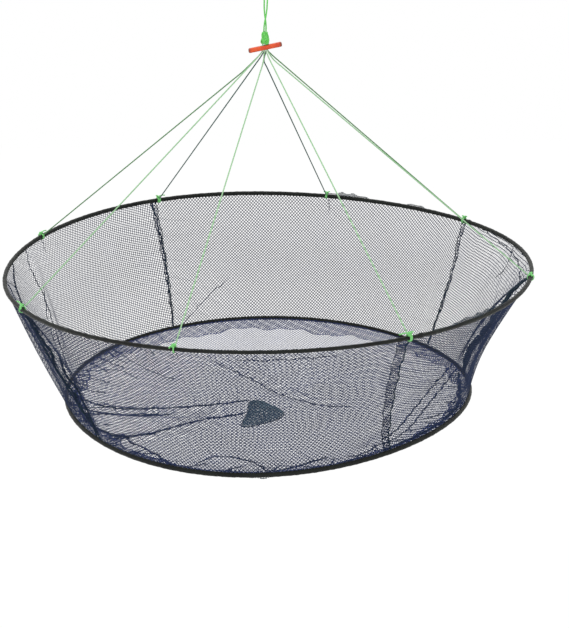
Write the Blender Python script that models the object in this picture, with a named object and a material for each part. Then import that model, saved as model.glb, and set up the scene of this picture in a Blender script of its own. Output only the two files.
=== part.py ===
"""A folding fish trap net: two sprung hoops, a netting wall and bottom, and a cord bridle.

Metres, +Z up. The origin is at the top of the hanging loop, where something else holds the net up.
Angles run counter-clockwise from +X, seen from above, and the front of the net is at -Y.
"""
import math

import bmesh
import bpy
import numpy as np
from mathutils import Matrix, Vector

# ---------------------------------------------------------------- driving dimensions
GAP = 0.0003                    # left between pieces that touch
HOOP_TUBE = 0.0070              # diameter of the wire in its sleeve
HOOP_STEPS = 60                 # straight pieces in a hoop
HOOP_SEAT = HOOP_TUBE / 2.0 + 2.0 * GAP    # from the wire's centre to the edge of the netting
NET_THICKNESS = 0.0012
CORD = 0.0020                   # diameter of a bridle cord and of its tie
LOOP_CORD = 0.0023              # diameter of the hanging loop's cord
CORD_SPACING = 2.0              # cord diameters between two points along a cord
SMOOTH_ANGLE = math.radians(45.0)

# A hoop is a circle pulled a little out of true. Each warp row: size, waves round the hoop, crest angle.
UPPER = {
    "radius": 0.400,
    "centre": (-0.0045, 0.0, -0.4250),
    "out_of_round": ((0.0025, 3, -15.5),),
    "out_of_level": ((0.0028, 2, -61.6), (0.0015, 3, 3.8)),
}
LOWER = {
    "radius": 0.3186,
    "centre": (-0.0069, 0.0, -0.6338),
    "out_of_round": ((0.0009, 2, 24.7), (0.0018, 3, 13.5)),
    "out_of_level": ((0.0015, 1, -72.5), (0.0026, 2, -29.7), (0.0024, 3, -38.1)),
}

# The wall netting. Each seam runs from one angle on the upper hoop to another on the lower hoop.
SEAMS = ((32.8, 31.6), (120.5, 122.0), (211.2, 217.5), (297.0, 301.5))
SEAM_SLIT = 0.0004              # between two panels along their seam
SLIVER = 0.012                  # columns of a panel stay this share of its span apart
WALL_ROWS = 7
WALL_COLUMNS = 18
WAIST = 0.0100                  # how far the slack wall draws in half way down
WAIST_SWING = 0.0070            # more of it at WAIST_ANGLE, less on the far side
WAIST_ANGLE = 342.0
SLACK_POWER = 0.7               # below 1, the slack starts close to the hoops
# Folds: angle at the upper hoop, angle at the lower hoop, half width, depth (positive stands out).
WALL_FOLDS = (
    (211.2, 217.5, 0.030, -0.0110),
    (203.0, 198.0, 0.026, 0.0060),
    (166.0, 174.5, 0.026, -0.0050),
    (344.7, 370.0, 0.030, -0.0130),
    (334.0, 350.0, 0.026, 0.0050),
    (32.8, 31.6, 0.024, -0.0045),
    (120.5, 122.0, 0.024, -0.0045),
    (297.0, 301.5, 0.026, -0.0050),
    (74.2, 62.0, 0.030, -0.0035),
    (252.3, 260.0, 0.030, -0.0035),
)
RIPPLE = 0.0016                 # slow in-and-out of the slack netting between its folds
RIPPLE_WAVES = 11
RIPPLE_LEAN = 2.0               # radians that the ripple turns from the upper hoop to the lower

# The bottom netting hangs in the lower hoop.
SAG = 0.0350
BOTTOM_FADE = 0.12              # the creases fade out over this share of the radius at the rim
BOTTOM_RINGS = (0.10, 0.25, 0.40, 0.55, 0.70, 0.84, 0.94, 1.0)
# Creases: start x, y and end x, y from the lower hoop's centre, half width, depth (negative is a trough).
BOTTOM_CREASES = (
    (-0.290, -0.060, -0.085, -0.026, 0.024, -0.0050),
    (-0.210, -0.165, -0.085, -0.068, 0.024, 0.0045),
    (-0.255, 0.190, -0.160, 0.100, 0.026, -0.0040),
    (-0.090, 0.160, 0.100, -0.016, 0.026, -0.0040),
    (0.300, 0.080, 0.150, -0.215, 0.026, 0.0050),
    (0.040, 0.215, 0.120, 0.090, 0.026, 0.0030),
)

# The bait pocket lies on the bottom netting. Corners are x, y from the lower hoop's centre.
POCKET_CORNERS = (
    (-0.029, 0.010),
    (-0.007, 0.008),
    (0.021, -0.029),
    (0.024, -0.046),
    (0.007, -0.068),
    (-0.039, -0.089),
    (-0.033, -0.033),
)
POCKET_STEPS = 3                # points along each side
POCKET_RINGS = (1.0, 0.8, 0.45)
POCKET_EDGE = 0.0015
POCKET_PUFF = 0.0070
POCKET_CLEARANCE = 0.0008

# The toggle bar, its slot and the knot above it.
BAR_CENTRE = Vector((-0.0032, 0.0, -0.0987))
BAR_SIZE = (0.0500, 0.0090, 0.0067)
BAR_TILT = math.radians(11.0)   # the +X end is the higher one
BAR_ROUNDING = 0.0022
BAR_BEVEL_STEPS = 3
SLOT = (0.0108, 0.0058)
KNOT_HEIGHT = 0.0190
KNOT_WIDTH = 0.0130
KNOT_FLAT = 0.0034              # radius of the flat at the knot's top and bottom
KNOT_ROWS = 10
KNOT_SIDES = 16
KNOT_STRANDS = 3                # ridges that wind round the knot
KNOT_RIDGE = 0.0007
KNOT_TWIST = 1.6 * math.pi      # how far a ridge winds from the knot's foot to its top
KNOT_FULLNESS = 0.6             # below 1, the knot swells close to its ends
KNOT_SHAPE = (1.10, 0.75)       # its swell near the foot and near the top, to its mean

# Bridles, by the angle of their tie on the upper hoop: column and row in the slot, then the point that
# the cord passes below the bar, from the bar's centre, before it runs straight to its tie.
SLOT_PITCH = 0.0025
BRIDLES = (
    (32.9, 1.5, 0.5, (0.0105, 0.0045, -0.0125)),
    (74.2, 0.5, 0.5, (-0.0026, 0.0016, -0.0190)),
    (118.6, -0.5, 0.5, (-0.0055, 0.0090, -0.0135)),
    (158.5, -1.5, 0.5, (-0.0310, -0.0160, -0.0305)),
    (210.8, -1.5, -0.5, (-0.0120, -0.0080, -0.0140)),
    (252.3, -0.5, -0.5, (-0.0030, -0.0018, -0.0210)),
    (297.6, 0.5, -0.5, (0.0045, -0.0075, -0.0130)),
    (344.7, 1.5, -0.5, (0.0110, -0.0045, -0.0165)),
)
BRIDLE_EASE = 0.0032            # a cord starts its bend this far before the point where it turns
BRIDLE_LEAVES = 0.70            # bar thicknesses below its centre, where a cord is clear of the slot
BRIDLE_RUN = (0.05, 0.35, 0.70)    # shares of the straight run that get a point
# Ties, in the same order: free end towards lower angles, free end towards higher angles.
TIE_ENDS = (
    (0.005, 0.005),
    (0.005, 0.006),
    (0.011, 0.004),
    (0.016, 0.005),
    (0.007, 0.012),
    (0.005, 0.007),
    (0.015, 0.005),
    (0.004, 0.004),
)
TIE_PITCH = 0.0026              # advance of a tie along the hoop in its one turn
TIE_STEPS = 10                  # points in that turn
TIE_SLACK = 0.0007              # between the turn of cord and the hoop
TIE_KINK = 0.6                  # share of a free end at which it has a point
TIE_LIFTS = (0.0012, 0.0018)    # rise of a free end over the turn, at the kink and at its tip
TIE_LEAN = 0.0006               # one free end lies outside the turn and the other inside
NOTCH_DEPTH = 0.0030            # the netting's top edge is drawn down under a tie
NOTCH_FLAT = math.degrees(0.0046 / UPPER["radius"])
NOTCH_END = math.degrees(0.0090 / UPPER["radius"])

# The hanging loop: half its route, from the knot's top to the loop's top, one strand of two.
LOOP_STRAND = (
    (-0.0015, 0.0000, None),
    (-0.0015, -0.0005, -0.0700),
    (-0.0008, -0.0016, -0.0620),
    (0.0008, -0.0016, -0.0530),
    (0.0020, -0.0005, -0.0420),
    (0.0023, 0.0000, -0.0300),
    (0.0031, 0.0000, -0.0160),
    (0.0032, 0.0000, -0.0060),
    (0.0020, 0.0000, -0.0015),
)
LOOP_LEAN = -0.0032             # sideways shift of the strands at the knot

NET_COLOUR = (0.045, 0.062, 0.085)
POCKET_COLOUR = (0.030, 0.055, 0.065)
HOOP_COLOUR = (0.020, 0.024, 0.022)
CORD_COLOUR = (0.36, 0.78, 0.36)
KNOT_COLOUR = (0.10, 0.62, 0.12)
BAR_COLOUR = (0.85, 0.13, 0.03)


# ---------------------------------------------------------------- scene helpers
def clear_scene():
    for thing in list(bpy.data.objects):
        bpy.data.objects.remove(thing, do_unlink=True)


def make_material(name, colour, roughness, metallic=0.0):
    material = bpy.data.materials.new(name)
    material.use_nodes = True
    shader = material.node_tree.nodes["Principled BSDF"]
    shader.inputs["Base Color"].default_value = (*colour, 1.0)
    shader.inputs["Roughness"].default_value = roughness
    shader.inputs["Metallic"].default_value = metallic
    return material


def add_object(name, data, material):
    thing = bpy.data.objects.new(name, data)
    bpy.context.scene.collection.objects.link(thing)
    data.materials.append(material)
    return thing


def mesh_object(name, points, faces, material):
    """A closed mesh from points and faces, with its faces turned outward."""
    mesh = bpy.data.meshes.new(name)
    mesh.from_pydata([tuple(p) for p in points], [], faces)
    body = bmesh.new()
    body.from_mesh(mesh)
    bmesh.ops.recalc_face_normals(body, faces=body.faces)
    body.to_mesh(mesh)
    body.free()
    mesh.shade_smooth()
    mesh.set_sharp_from_angle(angle=SMOOTH_ANGLE)
    add_object(name, mesh, material)


def tube_object(name, points, diameter, material, closed=False, resolution=2):
    """A round cord or wire along points, with filled ends unless it closes on itself."""
    curve = bpy.data.curves.new(name, "CURVE")
    curve.dimensions = "3D"
    curve.bevel_depth = diameter / 2.0
    curve.bevel_resolution = resolution
    curve.use_fill_caps = not closed
    curve.twist_mode = "Z_UP" if closed else "MINIMUM"
    spline = curve.splines.new("POLY")
    spline.points.add(len(points) - 1)
    for place, point in zip(spline.points, points):
        place.co = (*point, 1.0)
    spline.use_cyclic_u = closed
    add_object(name, curve, material)


def smooth_curve(route, diameter, most):
    """Points on a centripetal Catmull-Rom curve through a cord's route, with at most so many to a span."""
    spacing = CORD_SPACING * diameter
    route = [Vector(p) for p in route]
    ends = [route[0] * 2.0 - route[1]] + route + [route[-1] * 2.0 - route[-2]]
    points = [route[0]]
    for a, b, c, d in zip(ends, ends[1:], ends[2:], ends[3:]):
        ta = 0.0
        tb = ta + math.sqrt((b - a).length)
        tc = tb + math.sqrt((c - b).length)
        td = tc + math.sqrt((d - c).length)
        steps = min(most, max(1, round((c - b).length / spacing)))
        for step in range(1, steps + 1):
            t = tb + (tc - tb) * step / steps
            ab = a.lerp(b, (t - ta) / (tb - ta))
            bc = b.lerp(c, (t - tb) / (tc - tb))
            cd = c.lerp(d, (t - tc) / (td - tc))
            abc = ab.lerp(bc, (t - ta) / (tc - ta))
            bcd = bc.lerp(cd, (t - tb) / (td - tb))
            points.append(abc.lerp(bcd, (t - tb) / (tc - tb)))
    return points


# ---------------------------------------------------------------- hoops
def waves(rows, degrees):
    """The sum of a hoop's warp rows at the given angles."""
    total = 0.0
    for size, count, crest in rows:
        total = total + size * np.cos(count * np.radians(degrees - crest))
    return total


def hoop_point(hoop, degrees):
    """The centre of a hoop's wire at the given angles, as an array of points."""
    degrees = np.asarray(degrees, dtype=float)
    radius = hoop["radius"] + waves(hoop["out_of_round"], degrees)
    across = radius * np.cos(np.radians(degrees))
    along = radius * np.sin(np.radians(degrees))
    height = waves(hoop["out_of_level"], degrees)
    return np.stack((across, along, height), axis=-1) + np.array(hoop["centre"])


def make_hoop(name, hoop, material):
    angles = np.arange(HOOP_STEPS) * 360.0 / HOOP_STEPS
    tube_object(name, hoop_point(hoop, angles), HOOP_TUBE, material, closed=True)


# ---------------------------------------------------------------- wall netting
def bump(distance, half_width):
    """A smooth hump, 1 in the middle and 0 from half_width on."""
    share = np.clip(np.abs(distance) / half_width, 0.0, 1.0)
    return 0.5 + 0.5 * np.cos(np.pi * share)


def turn_between(degrees, centre):
    """The signed angle from centre to degrees, between -180 and 180."""
    return (degrees - centre + 180.0) % 360.0 - 180.0


def tie_notch(degrees):
    """How far a tie draws down the top edge of the netting, at the given angles."""
    drop = 0.0
    for angle, *_ in BRIDLES:
        away = np.abs(turn_between(degrees, angle))
        drop = drop + np.clip((NOTCH_END - away) / (NOTCH_END - NOTCH_FLAT), 0.0, 1.0)
    return NOTCH_DEPTH * drop


def wall_point(degrees, down):
    """The middle of the wall's netting: an angle, and 0 at the upper hoop to 1 at the lower hoop."""
    degrees, down = np.broadcast_arrays(np.asarray(degrees, dtype=float), np.asarray(down, dtype=float))
    top = hoop_point(UPPER, degrees) - np.array((0.0, 0.0, HOOP_SEAT))
    bottom = hoop_point(LOWER, degrees) + np.array((0.0, 0.0, HOOP_SEAT))
    point = top + (bottom - top) * down[..., None]
    point[..., 2] -= tie_notch(degrees) * np.clip(1.0 - down * WALL_ROWS, 0.0, 1.0)
    slack = np.clip(np.sin(np.pi * down), 0.0, 1.0) ** SLACK_POWER
    radius = UPPER["radius"] + (LOWER["radius"] - UPPER["radius"]) * down
    draw = WAIST + WAIST_SWING * np.cos(np.radians(degrees - WAIST_ANGLE))
    ripple = RIPPLE * np.sin(np.radians(RIPPLE_WAVES * degrees) + RIPPLE_LEAN * down)
    out = slack * (ripple - draw)
    for upper_angle, lower_angle, half_width, depth in WALL_FOLDS:
        middle = upper_angle + (lower_angle - upper_angle) * down
        arc = np.radians(turn_between(degrees, middle)) * radius
        out = out + depth * bump(arc, half_width) * slack
    outward = np.stack((np.cos(np.radians(degrees)), np.sin(np.radians(degrees)), 0.0 * degrees), axis=-1)
    return point + outward * out[..., None]


def wall_normal(degrees, down):
    """The outward normal of the wall's netting, by small differences."""
    turn = 0.5
    fall = 0.02
    low = np.clip(down - fall, 0.0, 1.0)
    high = np.clip(down + fall, 0.0, 1.0)
    around = wall_point(degrees + turn, down) - wall_point(degrees - turn, down)
    downward = wall_point(degrees, high) - wall_point(degrees, low)
    normal = np.cross(downward, around)
    return normal / np.linalg.norm(normal, axis=-1, keepdims=True)


def panel_columns(first, last):
    """Shares across a panel: even steps, and the corners of the notches under its ties."""
    span = last[0] - first[0]
    notches = []
    for angle, *_ in BRIDLES:
        for corner in (-NOTCH_END, -NOTCH_FLAT, NOTCH_FLAT, NOTCH_END):
            share = turn_between(angle + corner, first[0] + span / 2.0) / span + 0.5
            if 0.0 < round(share, 3) < 1.0:
                notches.append(share)
    even = [s for s in np.linspace(0.0, 1.0, WALL_COLUMNS + 1)[1:-1]
            if all(abs(s - notch) > SLIVER for notch in notches)]
    return np.array(sorted([0.0, 1.0] + notches + even))


def sheet_faces(columns, rows):
    """Faces of a sheet: its outer side, its inner side, then its four edges."""
    count = columns * rows
    faces = []
    for c in range(columns - 1):
        for r in range(rows - 1):
            a = c * rows + r
            faces.append((a, a + 1, a + rows + 1, a + rows))
            faces.append((count + a, count + a + rows, count + a + rows + 1, count + a + 1))
    rim = [c * rows for c in range(columns)]
    rim += [(columns - 1) * rows + r for r in range(1, rows)]
    rim += [c * rows + rows - 1 for c in range(columns - 2, -1, -1)]
    rim += [r for r in range(rows - 2, 0, -1)]
    for here, there in zip(rim, rim[1:] + rim[:1]):
        faces.append((here, there, count + there, count + here))
    return faces


def make_wall_panel(name, first, last, material):
    """One panel of the wall, from the seam first to the seam last."""
    down = np.linspace(0.0, 1.0, WALL_ROWS + 1)
    shares = panel_columns(first, last)
    radius = UPPER["radius"] + (LOWER["radius"] - UPPER["radius"]) * down
    slit = np.degrees(SEAM_SLIT / 2.0 / radius)
    start = first[0] + (first[1] - first[0]) * down + slit
    end = last[0] + (last[1] - last[0]) * down - slit
    angles = start + (end - start) * shares[:, None]
    down = np.broadcast_to(down, angles.shape)
    middle = wall_point(angles, down)
    offset = wall_normal(angles, down) * NET_THICKNESS / 2.0
    points = np.concatenate(((middle + offset).reshape(-1, 3), (middle - offset).reshape(-1, 3)))
    mesh_object(name, points, sheet_faces(*angles.shape), material)


def make_wall(material):
    turns = list(SEAMS) + [(SEAMS[0][0] + 360.0, SEAMS[0][1] + 360.0)]
    for number, (first, last) in enumerate(zip(turns, turns[1:]), start=1):
        make_wall_panel(f"wall_panel_{number}", first, last, material)


# ---------------------------------------------------------------- bottom netting
def rim_radius(degrees):
    """Distance from the lower hoop's centre to the edge of the bottom netting."""
    return LOWER["radius"] + waves(LOWER["out_of_round"], degrees) - HOOP_SEAT


def bottom_height(across, along):
    """Height of the middle of the bottom netting, at x, y from the lower hoop's centre."""
    across = np.asarray(across, dtype=float)
    along = np.asarray(along, dtype=float)
    degrees = np.degrees(np.arctan2(along, across))
    share = np.hypot(across, along) / rim_radius(degrees)
    height = LOWER["centre"][2] + waves(LOWER["out_of_level"], degrees) * share ** 2
    height = height - SAG * (1.0 - share ** 3)
    fade = np.clip((1.0 - share) / BOTTOM_FADE, 0.0, 1.0)
    for ax, ay, bx, by, half_width, depth in BOTTOM_CREASES:
        run = np.array((bx - ax, by - ay))
        length = np.hypot(*run)
        reach = np.clip(((across - ax) * run[0] + (along - ay) * run[1]) / length ** 2, 0.0, 1.0)
        away = np.hypot(across - ax - run[0] * reach, along - ay - run[1] * reach)
        height = height + depth * bump(away, half_width) * fade
    return height


def make_bottom(material):
    """The round bottom sheet: rings of points about a centre, on its upper and lower sides."""
    degrees = np.arange(HOOP_STEPS) * 360.0 / HOOP_STEPS
    across = [np.zeros(1)]
    along = [np.zeros(1)]
    for share in BOTTOM_RINGS:
        radius = rim_radius(degrees) * share
        across.append(radius * np.cos(np.radians(degrees)))
        along.append(radius * np.sin(np.radians(degrees)))
    across = np.concatenate(across)
    along = np.concatenate(along)
    height = bottom_height(across, along)
    plan = np.stack((across + LOWER["centre"][0], along + LOWER["centre"][1]), axis=-1)
    upper = np.column_stack((plan, height + NET_THICKNESS / 2.0))
    lower = np.column_stack((plan, height - NET_THICKNESS / 2.0))
    count = len(upper)
    faces = []
    for step in range(HOOP_STEPS):
        near = 1 + step
        far = 1 + (step + 1) % HOOP_STEPS
        faces.append((0, near, far))
        faces.append((count, count + far, count + near))
        for ring in range(len(BOTTOM_RINGS) - 1):
            a = near + ring * HOOP_STEPS
            b = far + ring * HOOP_STEPS
            faces.append((a, a + HOOP_STEPS, b + HOOP_STEPS, b))
            faces.append((count + a, count + b, count + b + HOOP_STEPS, count + a + HOOP_STEPS))
        a = near + (len(BOTTOM_RINGS) - 1) * HOOP_STEPS
        b = far + (len(BOTTOM_RINGS) - 1) * HOOP_STEPS
        faces.append((a, count + a, count + b, b))
    mesh_object("bottom_net", np.concatenate((upper, lower)), faces, material)


def closed_curve(corners, steps):
    """A closed Catmull-Rom outline through flat corners, with the given steps to a side."""
    corners = [Vector(c) for c in corners]
    outline = []
    for index, b in enumerate(corners):
        a = corners[index - 1]
        c = corners[(index + 1) % len(corners)]
        d = corners[(index + 2) % len(corners)]
        for step in range(steps):
            t = step / steps
            straight = b * 2.0 + (c - a) * t
            bend = (a * 2.0 - b * 5.0 + c * 4.0 - d) * t ** 2
            twist = (b * 3.0 - a - c * 3.0 + d) * t ** 3
            outline.append((straight + bend + twist) / 2.0)
    return outline


def make_pocket(material):
    """The bait pocket: a flat pouch, puffed in the middle, that lies on the bottom netting."""
    outline = closed_curve(POCKET_CORNERS, POCKET_STEPS)
    centre = sum(outline, Vector((0.0, 0.0))) / len(outline)
    upper = []
    lower = []
    for share in POCKET_RINGS:
        for point in outline:
            place = centre.lerp(point, share)
            floor = float(bottom_height(place.x, place.y)) + NET_THICKNESS / 2.0 + POCKET_CLEARANCE
            top = floor + POCKET_EDGE + POCKET_PUFF * (1.0 - share ** 2)
            upper.append((place.x + LOWER["centre"][0], place.y + LOWER["centre"][1], top))
            lower.append((place.x + LOWER["centre"][0], place.y + LOWER["centre"][1], floor))
    around = len(outline)
    count = len(upper)
    faces = []
    for step in range(around):
        a = step
        b = (step + 1) % around
        faces.append((a, b, count + b, count + a))
        for ring in range(len(POCKET_RINGS) - 1):
            near = ring * around + a
            far = ring * around + b
            faces.append((near, near + around, far + around, far))
            faces.append((count + near, count + far, count + far + around, count + near + around))
    middle = count - around
    faces.append(tuple(middle + step for step in range(around)))
    faces.append(tuple(count + middle + step for step in reversed(range(around))))
    mesh_object("bait_pocket", upper + lower, faces, material)


# ---------------------------------------------------------------- bar, knot and loop
def bar_top(across):
    """Height of the tilted bar's upper face above a point on its middle line."""
    return BAR_CENTRE.z + BAR_SIZE[2] / 2.0 / math.cos(BAR_TILT) + across * math.tan(BAR_TILT)


def knot_base():
    return bar_top(KNOT_FLAT) + GAP


def knot_top():
    return knot_base() + KNOT_HEIGHT


def make_bar(material):
    """The toggle bar, tilted, with a slot through its middle for the eight cords."""
    mesh = bpy.data.meshes.new("toggle_bar")
    body = bmesh.new()
    bmesh.ops.create_cube(body, size=1.0)
    bmesh.ops.scale(body, vec=BAR_SIZE, verts=body.verts)
    body.to_mesh(mesh)
    body.free()
    bar = add_object("toggle_bar", mesh, material)
    bar.matrix_world = Matrix.Translation(BAR_CENTRE) @ Matrix.Rotation(-BAR_TILT, 4, "Y")
    rounding = bar.modifiers.new("rounding", "BEVEL")
    rounding.width = BAR_ROUNDING
    rounding.segments = BAR_BEVEL_STEPS
    rounding.limit_method = "NONE"
    cutter_mesh = bpy.data.meshes.new("slot_cutter")
    cutter_body = bmesh.new()
    bmesh.ops.create_cube(cutter_body, size=1.0)
    bmesh.ops.scale(cutter_body, vec=(*SLOT, 4.0 * BAR_SIZE[2]), verts=cutter_body.verts)
    cutter_body.to_mesh(cutter_mesh)
    cutter_body.free()
    cutter = add_object("slot_cutter", cutter_mesh, material)
    cutter.location = BAR_CENTRE
    cutter.hide_render = True
    cutter.display_type = "WIRE"
    slot = bar.modifiers.new("slot", "BOOLEAN")
    slot.operation = "DIFFERENCE"
    slot.object = cutter


def make_knot(material):
    """The knot over the bar: an upright egg with ridges that wind round it, flat at both ends."""
    base = knot_base()
    points = []
    for row in range(KNOT_ROWS + 1):
        climb = row / KNOT_ROWS
        belly = math.sin(math.pi * climb) ** KNOT_FULLNESS
        shape = KNOT_SHAPE[0] + (KNOT_SHAPE[1] - KNOT_SHAPE[0]) * climb
        swell = KNOT_FLAT + (KNOT_WIDTH / 2.0 - KNOT_FLAT) * belly * shape
        for side in range(KNOT_SIDES):
            turn = 2.0 * math.pi * side / KNOT_SIDES
            ridge = KNOT_RIDGE * belly * math.cos(KNOT_STRANDS * turn - KNOT_TWIST * climb)
            radius = swell + ridge
            points.append((BAR_CENTRE.x + radius * math.cos(turn), radius * math.sin(turn),
                           base + KNOT_HEIGHT * climb))
    faces = [tuple(reversed(range(KNOT_SIDES)))]
    for row in range(KNOT_ROWS):
        for side in range(KNOT_SIDES):
            a = row * KNOT_SIDES + side
            b = row * KNOT_SIDES + (side + 1) % KNOT_SIDES
            faces.append((a, b, b + KNOT_SIDES, a + KNOT_SIDES))
    faces.append(tuple(KNOT_ROWS * KNOT_SIDES + side for side in range(KNOT_SIDES)))
    mesh_object("top_knot", points, faces, material)


def make_loop(material):
    """The hanging loop: up from the knot, once round its other strand, over the origin and back."""
    foot = knot_top() + GAP
    strand = []
    for x, y, z in LOOP_STRAND:
        height = foot if z is None else z
        strand.append(Vector((x, y, height)))
    route = strand + [Vector((0.0, 0.0, 0.0))]
    route += [Vector((-p.x, -p.y, p.z)) for p in reversed(strand)]
    route = [p + Vector((LOOP_LEAN * p.z / foot, 0.0, 0.0)) for p in route]
    tube_object("hanging_loop", smooth_curve(route, LOOP_CORD, most=3), LOOP_CORD, material)


# ---------------------------------------------------------------- bridles and ties
def tie_frame(degrees):
    """At a tie: the centre of the hoop's straight piece, the way along it and the outward way."""
    step = 360.0 / HOOP_STEPS
    before = Vector(hoop_point(UPPER, degrees // step * step))
    after = Vector(hoop_point(UPPER, (degrees // step + 1.0) * step))
    centre = before.lerp(after, degrees / step % 1.0)
    ahead = (after - before).normalized()
    outward = ahead.cross(Vector((0.0, 0.0, 1.0))).normalized()
    return centre, ahead, outward


def wrap_radius():
    return HOOP_TUBE / 2.0 + TIE_SLACK + CORD / 2.0


def make_bridle(name, row, material):
    """One bridle cord, from under the knot, through the bar and down to its tie."""
    angle, column, rank, below = row
    across = BAR_CENTRE.x + column * SLOT_PITCH
    depth = rank * SLOT_PITCH
    start = Vector((across, depth, knot_base() - GAP))
    inside = Vector((across, depth, BAR_CENTRE.z))
    leaving = Vector((across, depth, BAR_CENTRE.z - BAR_SIZE[2] * BRIDLE_LEAVES))
    gather = BAR_CENTRE + Vector(below)
    hoop_centre = tie_frame(angle)[0]
    pull = (gather - hoop_centre).normalized()
    end = hoop_centre + pull * (wrap_radius() + CORD / 2.0 + 2.0 * GAP)
    back = (leaving - gather).normalized()
    onward = (end - gather).normalized()
    route = [start, inside, leaving, gather + back * BRIDLE_EASE, gather + onward * BRIDLE_EASE]
    route += [gather.lerp(end, share) for share in BRIDLE_RUN]
    route.append(end)
    tube_object(name, smooth_curve(route, CORD, most=4), CORD, material)


def make_tie(name, angle, ends, material):
    """One tie: a free end, one turn round the hoop, and the other free end."""
    centre, ahead, outward = tie_frame(angle)
    up = outward.cross(ahead)
    around = wrap_radius()
    half = TIE_PITCH / 2.0
    kink, tip = TIE_LIFTS
    route = []
    for reach, lift in ((ends[0], tip), (ends[0] * TIE_KINK, kink)):
        route.append(centre - ahead * (half + reach) + up * (around + lift) + outward * TIE_LEAN)
    for step in range(TIE_STEPS + 1):
        share = step / TIE_STEPS
        turn = 2.0 * math.pi * share + math.pi / 2.0
        place = centre + ahead * (TIE_PITCH * (share - 0.5))
        route.append(place + outward * around * math.cos(turn) + up * around * math.sin(turn))
    for reach, lift in ((ends[1] * TIE_KINK, kink), (ends[1], tip)):
        route.append(centre + ahead * (half + reach) + up * (around + lift) - outward * TIE_LEAN)
    tube_object(name, smooth_curve(route, CORD, most=2), CORD, material, resolution=1)


def build():
    clear_scene()
    net = make_material("netting", NET_COLOUR, 0.85)
    sleeve = make_material("hoop_sleeve", HOOP_COLOUR, 0.75)
    cord = make_material("cord", CORD_COLOUR, 0.65)
    make_hoop("upper_hoop", UPPER, sleeve)
    make_hoop("lower_hoop", LOWER, sleeve)
    make_wall(net)
    make_bottom(net)
    make_pocket(make_material("pocket_net", POCKET_COLOUR, 0.85))
    make_bar(make_material("bar", BAR_COLOUR, 0.45))
    make_knot(make_material("knot_cord", KNOT_COLOUR, 0.65))
    make_loop(cord)
    for number, (row, ends) in enumerate(zip(BRIDLES, TIE_ENDS), start=1):
        make_bridle(f"bridle_{number}", row, cord)
        make_tie(f"tie_{number}", row[0], ends, cord)


build()
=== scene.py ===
"""The looks of the folding fish trap net: strand netting, sleeved hoops, cords, ties, knot and bar.

Metres, +Z up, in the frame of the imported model. Angles run counter-clockwise from +X, seen from
above, and the front of the net is at -Y. The netting lies on the surfaces of its solids, so the hoop,
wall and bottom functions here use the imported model's named dimensions, with finer folds added.
"""
import math
from collections import namedtuple

import bpy
import numpy as np
from mathutils import Matrix, Vector


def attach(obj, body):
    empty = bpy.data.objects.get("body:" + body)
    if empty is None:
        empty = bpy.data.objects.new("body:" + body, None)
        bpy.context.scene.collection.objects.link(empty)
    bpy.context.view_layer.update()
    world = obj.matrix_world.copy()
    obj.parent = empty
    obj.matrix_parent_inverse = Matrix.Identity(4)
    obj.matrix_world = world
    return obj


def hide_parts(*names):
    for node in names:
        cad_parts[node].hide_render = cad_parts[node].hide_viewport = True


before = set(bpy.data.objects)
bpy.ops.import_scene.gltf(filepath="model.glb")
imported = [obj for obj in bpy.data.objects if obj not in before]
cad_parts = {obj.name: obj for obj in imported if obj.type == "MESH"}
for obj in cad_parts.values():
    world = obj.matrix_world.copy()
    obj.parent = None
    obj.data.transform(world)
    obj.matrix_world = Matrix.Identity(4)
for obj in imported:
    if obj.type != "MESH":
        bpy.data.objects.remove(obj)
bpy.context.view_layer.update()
BODY = "root"

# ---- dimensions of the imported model
GAP = 0.0003
HOOP_TUBE = 0.0070
HOOP_SEAT = HOOP_TUBE / 2.0 + 2.0 * GAP
NET_THICKNESS = 0.0012
CORD = 0.0020
LOOP_CORD = 0.0023

# Rows of out_of_round and out_of_level: size, waves round the hoop, crest angle.
Hoop = namedtuple("Hoop", "radius centre out_of_round out_of_level")
UPPER = Hoop(
    radius=0.400,
    centre=(-0.0045, 0.0, -0.4250),
    out_of_round=((0.0025, 3, -15.5),),
    out_of_level=((0.0028, 2, -61.6), (0.0015, 3, 3.8)),
)
LOWER = Hoop(
    radius=0.3186,
    centre=(-0.0069, 0.0, -0.6338),
    out_of_round=((0.0009, 2, 24.7), (0.0018, 3, 13.5)),
    out_of_level=((0.0015, 1, -72.5), (0.0026, 2, -29.7), (0.0024, 3, -38.1)),
)

# The wall's slack: it draws in to a waist, with ripples and folds.
WAIST = 0.0100
WAIST_SWING = 0.0070
WAIST_ANGLE = 342.0
SLACK_POWER = 0.7
RIPPLE = 0.0016
RIPPLE_WAVES = 11
RIPPLE_LEAN = 2.0
# Folds: angle at the upper hoop, angle at the lower hoop, half width, depth (positive stands out).
WALL_FOLDS = (
    (211.2, 217.5, 0.030, -0.0110),
    (203.0, 198.0, 0.026, 0.0060),
    (166.0, 174.5, 0.026, -0.0050),
    (344.7, 370.0, 0.030, -0.0130),
    (334.0, 350.0, 0.026, 0.0050),
    (32.8, 31.6, 0.024, -0.0045),
    (120.5, 122.0, 0.024, -0.0045),
    (297.0, 301.5, 0.026, -0.0050),
    (74.2, 62.0, 0.030, -0.0035),
    (252.3, 260.0, 0.030, -0.0035),
)

SAG = 0.0350
BOTTOM_FADE = 0.12
# Creases: start x, y and end x, y from the lower hoop's centre, half width, depth.
BOTTOM_CREASES = (
    (-0.290, -0.060, -0.085, -0.026, 0.024, -0.0050),
    (-0.210, -0.165, -0.085, -0.068, 0.024, 0.0045),
    (-0.255, 0.190, -0.160, 0.100, 0.026, -0.0040),
    (-0.090, 0.160, 0.100, -0.016, 0.026, -0.0040),
    (0.300, 0.080, 0.150, -0.215, 0.026, 0.0050),
    (0.040, 0.215, 0.120, 0.090, 0.026, 0.0030),
)

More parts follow.
